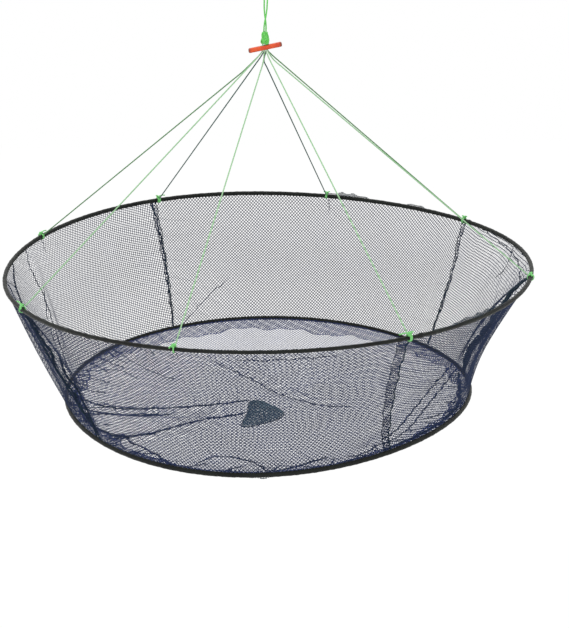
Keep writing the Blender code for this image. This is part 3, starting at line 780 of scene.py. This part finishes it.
def core_runs(crease, inside, cloth, offset):
    """The strands that lie bunched in a crease and weave across each other along it."""
    line = crease_line(crease)
    past = lengths_past(line)
    along = np.arange(0.0, past[-1], CORE_SAMPLE)
    centre = np.stack([np.interp(along, past, values) for values in line.T], axis=-1)
    side = left_of(unit(np.gradient(centre, axis=0)))
    taper = 0.25 + 0.75 * np.clip(np.minimum(along, past[-1] - along) / CREASE_RAMP, 0.0, 1.0)
    made = []
    for number in range(crease.core):
        phase = 2.4 * number
        weave = 2.0 * np.pi / (CORE_WEAVE * (1.0 + 0.6 * math.sin(1.7 * number)))
        swing = 0.62 * np.sin(phase) + 0.38 * np.sin(weave * along + 1.9 * phase)
        place = centre + side * (CORE_SPACE * crease.core / 2.0 * taper * swing)[:, None]
        rise = 0.30 * crease.width * np.sin(0.7 * weave * along + phase)
        for _, a, b in runs_of(inside(place)[None, :]):
            normals = cloth.normal(place[a:b])
            made.append((cloth.point(place[a:b], rise[a:b]) + normals * offset, normals))
    return made


# ---- wall netting
SLANT = math.hypot(UPPER.radius - LOWER.radius, UPPER.centre[2] - LOWER.centre[2])
NARROWING = (UPPER.radius - LOWER.radius) / SLANT
OUTER_REACH = UPPER.radius / NARROWING
INNER_REACH = LOWER.radius / NARROWING


def flat_place(degrees, down, middle):
    """Where an angle and share down the wall lie in the flat cloth of the panel about middle."""
    reach = OUTER_REACH + (INNER_REACH - OUTER_REACH) * down
    turn = np.radians(turn_between(degrees, middle)) * NARROWING
    return np.stack((reach * np.cos(turn), reach * np.sin(turn)), axis=-1)


def wall_place(flat, middle):
    """The angles and shares down the wall of places in the flat cloth of the panel about middle."""
    reach, turn = polar(flat)
    return middle + turn / NARROWING, (OUTER_REACH - reach) / (OUTER_REACH - INNER_REACH)


def panel_lap(seam, down):
    """Half the width of a seam's lap, in degrees."""
    return np.degrees(np.interp(down, (0.0, 0.5, 1.0), seam.laps) / mean_radius(down))


def panel_edges(first, last, down):
    """The angles at which a panel starts and ends, laps included."""
    start = seam_angle(first, down) - panel_lap(first, down)
    end = seam_angle(last, down) + panel_lap(last, down)
    return start, end


def hem_runs(seam, side, offset):
    """Two close strands along a panel's hem, a little wavy."""
    made = []
    down = np.linspace(0.0, 1.0, 150)
    for inset, side_up in ((0.0000, 1.0), (0.0007, -1.0)):
        wave = 0.0011 * np.sin(31.0 * down + 9.0 * side) + 0.0007 * np.sin(73.0 * down)
        degrees = seam_angle(seam, down) + side * panel_lap(seam, down)
        degrees = degrees + np.degrees((wave - side * inset) / mean_radius(down))
        normals = wall_normal(degrees, down)
        points = wall_point(degrees, down) + normals * (offset + side_up * LAYER)
        made.append((points[::2], normals[::2] * side_up))
    return made


def panel_runs(first, last, grid_turn, offset):
    """The strands of one wall panel, cut flat and then drawn in by its creases, and those in its tucks."""
    middle = (first.upper + last.upper) / 2.0
    half_span = (last.upper - first.upper) / 2.0
    near, own = [], []
    for crease in WALL_CREASES:
        away = [abs(turn_between(angle, middle)) for angle, _ in crease.points]
        if min(away) < half_span + PANEL_MARGIN:
            near.append(crease._replace(points=[flat_place(*p, middle) for p in crease.points]))
            if away[len(away) // 2] <= half_span:
                own.append(near[-1])
    cloth = Cloth(lambda flat, lift: wall_point(*wall_place(flat, middle), lift),
                  lambda flat: wall_normal(*wall_place(flat, middle)))

    def on_wall(flat):
        down = wall_place(flat, middle)[1]
        return (down >= 0.0) & (down <= 1.0)

    def in_panel(flat):
        degrees, down = wall_place(flat, middle)
        start, end = panel_edges(first, last, np.clip(down, 0.0, 1.0))
        return (down >= 0.0) & (down <= 1.0) & (degrees > start) & (degrees < end)

    fan = math.radians(half_span + PANEL_MARGIN) * NARROWING + 0.10
    low = (INNER_REACH * math.cos(fan) - GRID_MARGIN, -OUTER_REACH * math.sin(fan))
    high = (OUTER_REACH + GRID_MARGIN, OUTER_REACH * math.sin(fan))
    grids = []
    for turn, side, phase in ((grid_turn, 1.0, 0.0), (grid_turn + 90.0, -1.0, 0.37)):
        flat = grid_lines(low, high, turn, phase)
        reach = polar(flat)[0]
        close = (reach > INNER_REACH - GRID_MARGIN) & (reach < OUTER_REACH + GRID_MARGIN)
        grids.append((flat[close.any(axis=1)], side))
    made = netting_runs(grids, place_creases(near), in_panel, cloth, WALL_THINNING, offset)
    tucks = hem_runs(first, -1.0, offset) + hem_runs(last, 1.0, offset)
    for crease in own:
        tucks += core_runs(crease, on_wall, cloth, offset)
    return made, tucks


def strand_piece(name, runs, strand, material, replaced=()):
    points, faces = strand_arrays(runs, *strand)
    return add_piece(name, points, faces, material, replaced)


def make_ruffles(material):
    """Short uneven stretches of netting edge that stand proud of the hoops."""
    runs = []
    for hoop, first, last, way, rise in RUFFLES:
        degrees = np.arange(first, last, math.degrees(RUFFLE_MESH / hoop.radius))
        foot = hoop_point(hoop, degrees) + np.array((0.0, 0.0, way * (HOOP_TUBE / 2.0 - NET_THICKNESS)))
        outward = outward_way(degrees)
        crest = rise * bump(degrees - (first + last) / 2.0, (last - first) / 2.0)
        crest = crest * (0.80 + 0.20 * np.sin(1.9 * degrees))
        levels = [np.full(len(degrees), level) for level in np.arange(0.0, rise, RUFFLE_MESH)]
        levels += list(np.linspace(0.0, crest, 4))
        standing = []
        for level in levels:
            lean = 0.0012 * np.sin(0.8 * degrees + 200.0 * level)
            raised = level[:, None] * np.array((0.0, 0.0, way))
            standing.append(foot + outward * lean[:, None] + raised)
        for level, points in zip(levels[:-4], standing):
            for _, a, b in runs_of((crest >= level)[None, :]):
                runs.append((points[a:b], outward[a:b]))
        uprights = np.stack(standing[-4:])
        for index in np.nonzero(crest > RUFFLE_MESH / 2.0)[0]:
            runs.append((uprights[:, index], np.tile(outward[index], (4, 1))))
    return strand_piece("hem_ruffles", runs, BOTTOM_STRAND, material)


def make_wall(material, shaded_tuck_material):
    ruffles = make_ruffles(shaded_tuck_material)
    seams = list(WALL_SEAMS)
    seams.append(seams[0]._replace(upper=seams[0].upper + 360.0, lower=seams[0].lower + 360.0))
    for number, (first, last, turn) in enumerate(zip(seams, seams[1:], GRID_TURNS), start=1):
        offset = PANEL_OFFSET if number % 2 else -PANEL_OFFSET
        runs, tucked = panel_runs(first, last, turn, offset)
        piece = strand_piece(f"wall_netting_{number}", runs, WALL_STRAND, material, [f"wall_panel_{number}"])
        tucks = strand_piece(f"wall_tucks_{number}", tucked, TUCK_STRAND, shaded_tuck_material)


# ---- bottom netting
def rim_radius(degrees):
    """Distance from the lower hoop's centre to the edge of the bottom netting."""
    return LOWER.radius + waves(LOWER.out_of_round, degrees) - HOOP_SEAT + NET_THICKNESS


def bottom_height(flat):
    """Height of the middle of the bottom netting at flat places, from the lower hoop's centre."""
    reach, degrees = polar(flat)
    share = reach / rim_radius(degrees)
    height = LOWER.centre[2] + waves(LOWER.out_of_level, degrees) * share ** 2 - SAG * (1.0 - share ** 3)
    fade = np.clip((1.0 - share) / BOTTOM_FADE, 0.0, 1.0)
    for *ends, half_width, depth in BOTTOM_CREASES:
        start, end = np.array(ends).reshape(2, 2)
        run = end - start
        part = np.clip((flat - start) @ run / (run @ run), 0.0, 1.0)
        away = polar(flat - start - part[..., None] * run)[0]
        height = height + depth * bump(away, half_width) * fade
    return height


def bottom_point(flat, lift=0.0):
    height = bottom_height(flat) + lift
    return np.concatenate((flat + LOWER.centre[:2], height[..., None]), axis=-1)


def bottom_normal(flat):
    """The upward normal of the bottom netting, by small differences."""
    step = 0.0008
    slopes = []
    for way in ((step, 0.0), (0.0, step)):
        slopes.append((bottom_height(flat - way) - bottom_height(flat + way)) / (2.0 * step))
    return unit(np.stack((*slopes, np.ones(flat.shape[:-1])), axis=-1))


def in_rim(flat):
    reach, degrees = polar(flat)
    return reach < rim_radius(degrees)


def in_hem(flat):
    reach, degrees = polar(flat)
    return in_rim(flat) & (reach > rim_radius(degrees) - hem_width(degrees))


def rim_gathers():
    """Short gathers round the rim of the bottom, uneven in place, slant and length."""
    made = []
    first, last = RIM_ARC
    for number in range(RIM_GATHERS):
        angle = first + (last - first) * number / (RIM_GATHERS - 1) + 2.4 * math.sin(2.3 * number)
        length = 0.016 + 0.030 * abs(math.sin(1.7 * number + 0.4))
        slant = 9.0 * math.sin(3.1 * number)
        outer = outward_way(angle)[:2] * (LOWER.radius + CREASE_RAMP)
        inner = outward_way(angle + slant)[:2] * (LOWER.radius - length - CREASE_RAMP / 2.0)
        made.append(Crease((outer, inner), 0.0014 + 0.0008 * abs(math.sin(2.9 * number)), 1, 2))
    return made


def hem_width(degrees):
    """Width of the doubled band inside the bottom's rim, a little ragged."""
    angles, widths = zip(*HEM_WIDTHS)
    ragged = 0.0036 * np.sin(np.radians(17.0 * degrees)) + 0.0024 * np.sin(np.radians(41.0 * degrees))
    return np.interp(degrees % 360.0, angles, widths) + ragged


def bottom_grids(turn, phases):
    """Both sets of the bottom's strands in the flat cloth, each with the side that it lies on."""
    size = LOWER.radius + GRID_MARGIN
    rows = zip((turn, turn + 90.0), phases, (1.0, -1.0))
    return [(grid_lines((-size, -size), (size, size), way, phase), side) for way, phase, side in rows]


def bottom_hem(placed):
    """The doubled band of netting inside the rim of the bottom, and its edge."""
    lying = 0.0008
    cloth = Cloth(lambda flat, lift: bottom_point(flat, lift + lying),
                  lambda flat: np.tile((0.0, 0.0, 1.0), (len(flat), 1)))
    made = netting_runs(bottom_grids(HEM_TURN, (0.25, 0.25)), placed, in_hem, cloth, WALL_THINNING, layer=0.0)
    degrees = np.linspace(0.0, 360.0, 721)
    for inset in (0.0, 0.0008):
        reach = rim_radius(degrees) - hem_width(degrees) - inset
        edge = outward_way(degrees)[:, :2] * reach[:, None]
        made.append((cloth.point(edge, 0.0), cloth.normal(edge)))
    return made


def make_bottom(material, shaded_tuck_material):
    """The bottom netting: a round sheet cut on its own grid."""
    cloth = Cloth(bottom_point, bottom_normal)
    placed = place_creases(list(BOTTOM_LINES) + rim_gathers())
    made = netting_runs(bottom_grids(BOTTOM_TURN, (0.0, 0.5)), placed, in_rim, cloth, BOTTOM_THINNING)
    tucked = []
    for crease, _ in placed:
        tucked += core_runs(crease, in_rim, cloth, LAYER)
    piece = strand_piece("bottom_netting", made, BOTTOM_STRAND, material, ["bottom_net"])
    hem = strand_piece("bottom_hem", bottom_hem(placed), HEM_STRAND, material)
    tucks = strand_piece("bottom_tucks", tucked, TUCK_STRAND, shaded_tuck_material)


# ---- sleeves
def make_sleeve(name, hoop, seam_side, slim, swellings, material, replaced):
    """The cloth sleeve over a hoop's wire, gathered a little, with its sewn edge towards the netting."""
    steps = 720
    sides = 16
    seam_height = 0.0009
    thread = 0.0008
    angles = np.arange(steps) * 360.0 / steps
    centre = hoop_point(hoop, angles)
    ahead = unit(np.roll(centre, -1, axis=0) - np.roll(centre, 1, axis=0))
    outward = unit(np.cross(ahead, (0.0, 0.0, 1.0)))
    turn = 2.0 * np.pi * np.arange(sides) / sides
    radians = np.radians(angles)[:, None]
    puckers = 0.00014 * np.sin(231.0 * radians + 3.0 * turn) + 0.00010 * np.sin(157.0 * radians - 2.0 * turn)
    puckers = puckers + 0.00010 * np.sin(67.0 * radians + turn)
    slimmer = slim * bump(turn_between(angles, 270.0), 95.0)[:, None]
    radius = HOOP_TUBE / 2.0 - 0.0003 - slimmer + puckers
    radius = radius + seam_height * np.clip(seam_side * np.sin(turn) * 4.0 - 3.0, 0.0, 1.0)
    for angle, half_width, height in swellings:
        radius = radius + height * bump(turn_between(angles, angle), half_width)[:, None]
    points = rings_about(centre, outward, np.cross(outward, ahead), turn, radius)
    index = np.arange(steps * sides).reshape(steps, sides)
    faces = joined_rings(np.concatenate((index, index[:1])))
    u = (np.arange(steps)[:, None, None] + (0, 0, 1, 1)) * (2.0 * math.pi * hoop.radius / steps / thread)
    v = (np.arange(sides)[None, :, None] + (0, 1, 1, 0)) * (math.pi * HOOP_TUBE / sides / thread)
    uv = np.stack(np.broadcast_arrays(u, v), axis=-1).reshape(-1, 2)
    add_piece(name, points.reshape(-1, 3), faces, material, replaced, uv)


# ---- bait pocket
def closed_curve(corners, steps):
    """A closed Catmull-Rom outline through flat corners, with the given steps to a side."""
    corners = [Vector(c) for c in corners]
    outline = []
    for index, b in enumerate(corners):
        a = corners[index - 1]
        c = corners[(index + 1) % len(corners)]
        d = corners[(index + 2) % len(corners)]
        for step in range(steps):
            t = step / steps
            straight = b * 2.0 + (c - a) * t
            bend = (a * 2.0 - b * 5.0 + c * 4.0 - d) * t ** 2
            twist = (b * 3.0 - a - c * 3.0 + d) * t ** 3
            outline.append((straight + bend + twist) / 2.0)
    return outline


def make_pocket(material, cord_look):
    """The bait pocket: a puffed pouch of close netting with a drawstring in its edge."""
    close_mesh = 0.0025
    drawstring = 0.0012
    outline = np.array([tuple(p) for p in closed_curve(POCKET_CORNERS, 12)])
    centre = outline.mean(axis=0)
    edge_reach, edge_turn = polar(outline - centre)
    size = edge_reach.max() + 0.002
    rows = np.arange(-size, size, close_mesh)
    made = []
    for turn, side in ((38.0, 1.0), (128.0, -1.0)):
        way = outward_way(turn)[:2]
        flat = centre + rows[:, None, None] * left_of(way) + rows[:, None] * way
        reach, degrees = polar(flat - centre)
        share = reach / np.interp(degrees, edge_turn, edge_reach, period=360.0)
        puff = POCKET_EDGE + POCKET_PUFF * (1.0 - share ** 2)
        puff = puff * (1.0 + 0.12 * np.sin(np.radians(6.0 * degrees) + 4.0 * share))
        for layer, facing in ((puff, side), (0.0004, -side)):
            points = bottom_point(flat, layer + NET_THICKNESS / 2.0 + POCKET_CLEARANCE)
            for row, a, b in runs_of(share < 1.0):
                made.append((points[row, a:b], np.tile((0.0, 0.0, facing), (b - a, 1))))
    strand_piece("pocket_netting", made, POCKET_STRAND, material, ["bait_pocket"])
    rim = list(bottom_point(outline, 0.0020))
    line = smooth_curve(rim + rim[:2], drawstring)
    cord_piece("pocket_drawstring", [line], drawstring, cord_look)


# ---- knot, bar and cords
def bar_top(across):
    """Height of the tilted bar's upper face above a point on its middle line."""
    return BAR_CENTRE.z + BAR_SIZE[2] / 2.0 / math.cos(BAR_TILT) + across * math.tan(BAR_TILT)


def knot_base():
    return bar_top(KNOT_FLAT) + GAP


def knot_top():
    return knot_base() + KNOT_HEIGHT


def make_knot(material):
    """The knot over the bar: cord wound up and down over an egg, over and under itself, and a coil inside."""
    winding = 0.0024
    crossings, turns, coils = 5, 4, 8.5
    steps = 420
    middle = Vector((BAR_CENTRE.x, 0.0, knot_base() + KNOT_HEIGHT / 2.0))

    def on_egg(climb, turn, size, weave=0.0):
        full = math.sqrt(1.0 - (0.92 * climb) ** 2)
        belly = (KNOT_WIDTH - winding) / 2.0 * (0.30 + 0.70 * full) * (1.0 - 0.28 * climb) * size + weave
        rise = (KNOT_HEIGHT - winding) / 2.0 * climb
        return middle + Vector((belly * math.cos(turn), belly * math.sin(turn), rise))

    outer, inner = [], []
    for step in range(steps + 1):
        t = 2.0 * math.pi * step / steps
        weave = 0.0007 * math.sin(2.0 * crossings * t + 0.6)
        outer.append(on_egg(math.cos(crossings * t), turns * t, 1.0 / 1.05, weave))
        inner.append(on_egg(2.0 * step / steps - 1.0, coils * t, 0.76))
    cord_piece("knot_winding", [outer, inner], winding, material, ["top_knot"])


def make_loop(material):
    """The hanging loop: up from the knot, round its other strand, over the origin and back."""
    foot = knot_top() + GAP
    strand = [Vector((x, y, foot if z is None else z)) for x, y, z in LOOP_STRAND]
    route = strand + [Vector((0.0, 0.0, 0.0))]
    route += [Vector((-p.x, -p.y, p.z)) for p in reversed(strand)]
    line = smooth_curve([p + Vector((LOOP_LEAN * p.z / foot, 0.0, 0.0)) for p in route], 0.0010)
    piece = cord_piece("hanging_cord", [line], LOOP_CORD, material, ["hanging_loop"])


def tie_frame(degrees):
    """At a tie: the centre of the hoop's wire, the way along it and the outward way."""
    before, centre, after = (Vector(hoop_point(UPPER, degrees + turn)) for turn in (-1.0, 0.0, 1.0))
    ahead = (after - before).normalized()
    return centre, ahead, ahead.cross(Vector((0.0, 0.0, 1.0))).normalized()


def make_bridle(number, row, material):
    """One bridle cord, from under the knot, through the bar and down to its tie."""
    angle, column, rank, below = row
    hole = Vector((BAR_CENTRE.x + column * SLOT_PITCH, rank * SLOT_PITCH, 0.0))
    start, inside, leaving = (hole + Vector((0.0, 0.0, height)) for height in (
        knot_base() - GAP, BAR_CENTRE.z, BAR_CENTRE.z - BAR_SIZE[2] * BRIDLE_LEAVES))
    gather = BAR_CENTRE + Vector(below)
    hoop_centre = tie_frame(angle)[0]
    wrap = HOOP_TUBE / 2.0 + TIE_SLACK + CORD / 2.0
    end = hoop_centre + (gather - hoop_centre).normalized() * (wrap + CORD / 2.0 + 2.0 * GAP)
    back = (leaving - gather).normalized()
    onward = (end - gather).normalized()
    route = [start, inside, leaving, gather + back * BRIDLE_EASE, gather + onward * BRIDLE_EASE]
    route += [gather.lerp(end, share) for share in BRIDLE_RUN]
    line = smooth_curve(route + [end], 0.0015)
    piece = cord_piece(f"bridle_cord_{number}", [line], CORD, material, [f"bridle_{number}"])


# The bridles' colours, from dark to pale, are painted shade: the rear bridles get darker copies of the cord
# for their shaded side, the lit front ones the pale copy.
BRIDLE_PAINTED_SHADES = (1, 0, 0, 1, 2, 2, 2, 2)

# Ties: wraps round the hoop, size of the knot, and the free ends as reach along the hoop, outward and up.
TIES = (
    (1, 0.0026, ((-0.006, 0.001, 0.002), (0.006, 0.001, 0.001))),
    (1, 0.0026, ((-0.006, 0.000, 0.002), (0.006, 0.002, 0.001))),
    (2, 0.0026, ((-0.013, 0.000, 0.001), (0.004, 0.002, 0.002))),
    (1, 0.0028, ((-0.018, 0.001, -0.001), (0.005, 0.003, -0.003))),
    (1, 0.0028, ((-0.010, 0.003, 0.004), (0.005, 0.004, -0.004))),
    (1, 0.0024, ((-0.006, 0.003, -0.004), (0.004, 0.003, 0.001))),
    (2, 0.0026, ((-0.017, 0.002, 0.002), (0.005, 0.002, 0.002))),
    (2, 0.0022, ((-0.004, 0.002, -0.003), (0.004, 0.001, 0.001))),
)


def make_tie(number, angle, row, material):
    """One tie: turns round the hoop, a small overhand knot on top, and its free ends."""
    wraps, knot, ends = row
    centre, ahead, outward = tie_frame(angle)
    up = outward.cross(ahead)
    around = HOOP_TUBE / 2.0 + CORD / 2.0
    pitch = CORD * 1.05
    line = []
    turns = wraps + 0.5
    steps = round(28 * turns)
    for step in range(steps + 1):
        share = step / steps
        turn = 2.0 * math.pi * turns * share + math.pi * 0.25
        place = centre + ahead * (pitch * turns * (share - 0.5))
        line.append(place + outward * around * math.cos(turn) + up * around * math.sin(turn))
    top = centre + up * (around + knot * 0.5)
    tied = []
    for step in range(41):
        t = 2.0 * math.pi * step / 40.0
        tied.append(top + ahead * knot * (math.sin(t) + 2.0 * math.sin(2.0 * t)) / 3.0
                    + outward * knot * (math.cos(t) - 2.0 * math.cos(2.0 * t)) / 3.0
                    - up * knot * 0.5 * math.sin(3.0 * t))
    lines = [line, tied]
    for reach, out, rise in ends:
        tip = top + ahead * reach + outward * out + up * rise
        bend = top.lerp(tip, 0.5) + up * 0.0012
        lines.append(smooth_curve([top, bend, tip], 0.0008))
    return cord_piece(f"tie_cord_{number}", lines, CORD * 0.95, material, [f"tie_{number}"])


# ---- the whole net
def dress():
    make_camera()
    make_studio()
    vivid_green = cord_material("knot_cord", (0.040, 0.30, 0.035), (0.20, 0.78, 0.15), 0.55)
    tie_green = cord_material("tie_cord", (0.08, 0.36, 0.08), (0.28, 0.80, 0.26), 0.55)
    # Painted shade: one green cord in three copies, darker for the shaded rear bridles.
    lit_and_shaded_greens = (
        cord_material("bridle_cord_shaded", (0.008, 0.030, 0.024), (0.050, 0.150, 0.115), 0.65),
        cord_material("bridle_cord_half_shaded", (0.030, 0.100, 0.030), (0.160, 0.380, 0.150), 0.62),
        cord_material("bridle_cord_lit", (0.150, 0.330, 0.150), (0.430, 0.720, 0.410), 0.60),
    )
    for number, (row, tie_row, shade) in enumerate(zip(BRIDLES, TIES, BRIDLE_PAINTED_SHADES), start=1):
        tie = make_tie(number, row[0], tie_row, tie_green)
        make_bridle(number, row, lit_and_shaded_greens[shade])
    make_loop(vivid_green)
    make_knot(vivid_green)
    sleeve = sleeve_material()
    make_sleeve("upper_sleeve", UPPER, -1.0, 0.0009, SWELLINGS, sleeve, ["upper_hoop"])
    make_sleeve("lower_sleeve", LOWER, 1.0, 0.0, (), sleeve, ["lower_hoop"])
    # Painted shade: the strands bunched in creases and seams, and the ruffles, get a darker yarn for the
    # shade among them.
    shaded_tuck_yarn = netting_material("shaded_tuck_yarn", (0.010, 0.024, 0.036), (0.026, 0.048, 0.070))
    make_wall(netting_material("wall_yarn", (0.018, 0.027, 0.062), (0.032, 0.046, 0.100)), shaded_tuck_yarn)
    make_bottom(netting_material("bottom_yarn", (0.032, 0.048, 0.145), (0.054, 0.078, 0.225)), shaded_tuck_yarn)
    close_net = netting_material("pocket_yarn", (0.055, 0.095, 0.120), (0.135, 0.200, 0.235))
    make_pocket(close_net, netting_material("drawstring_yarn", (0.010, 0.018, 0.024), (0.020, 0.034, 0.040)))
    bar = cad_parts["toggle_bar"]
    bar.data.materials.clear()
    bar.data.materials.append(bar_material())


dress()
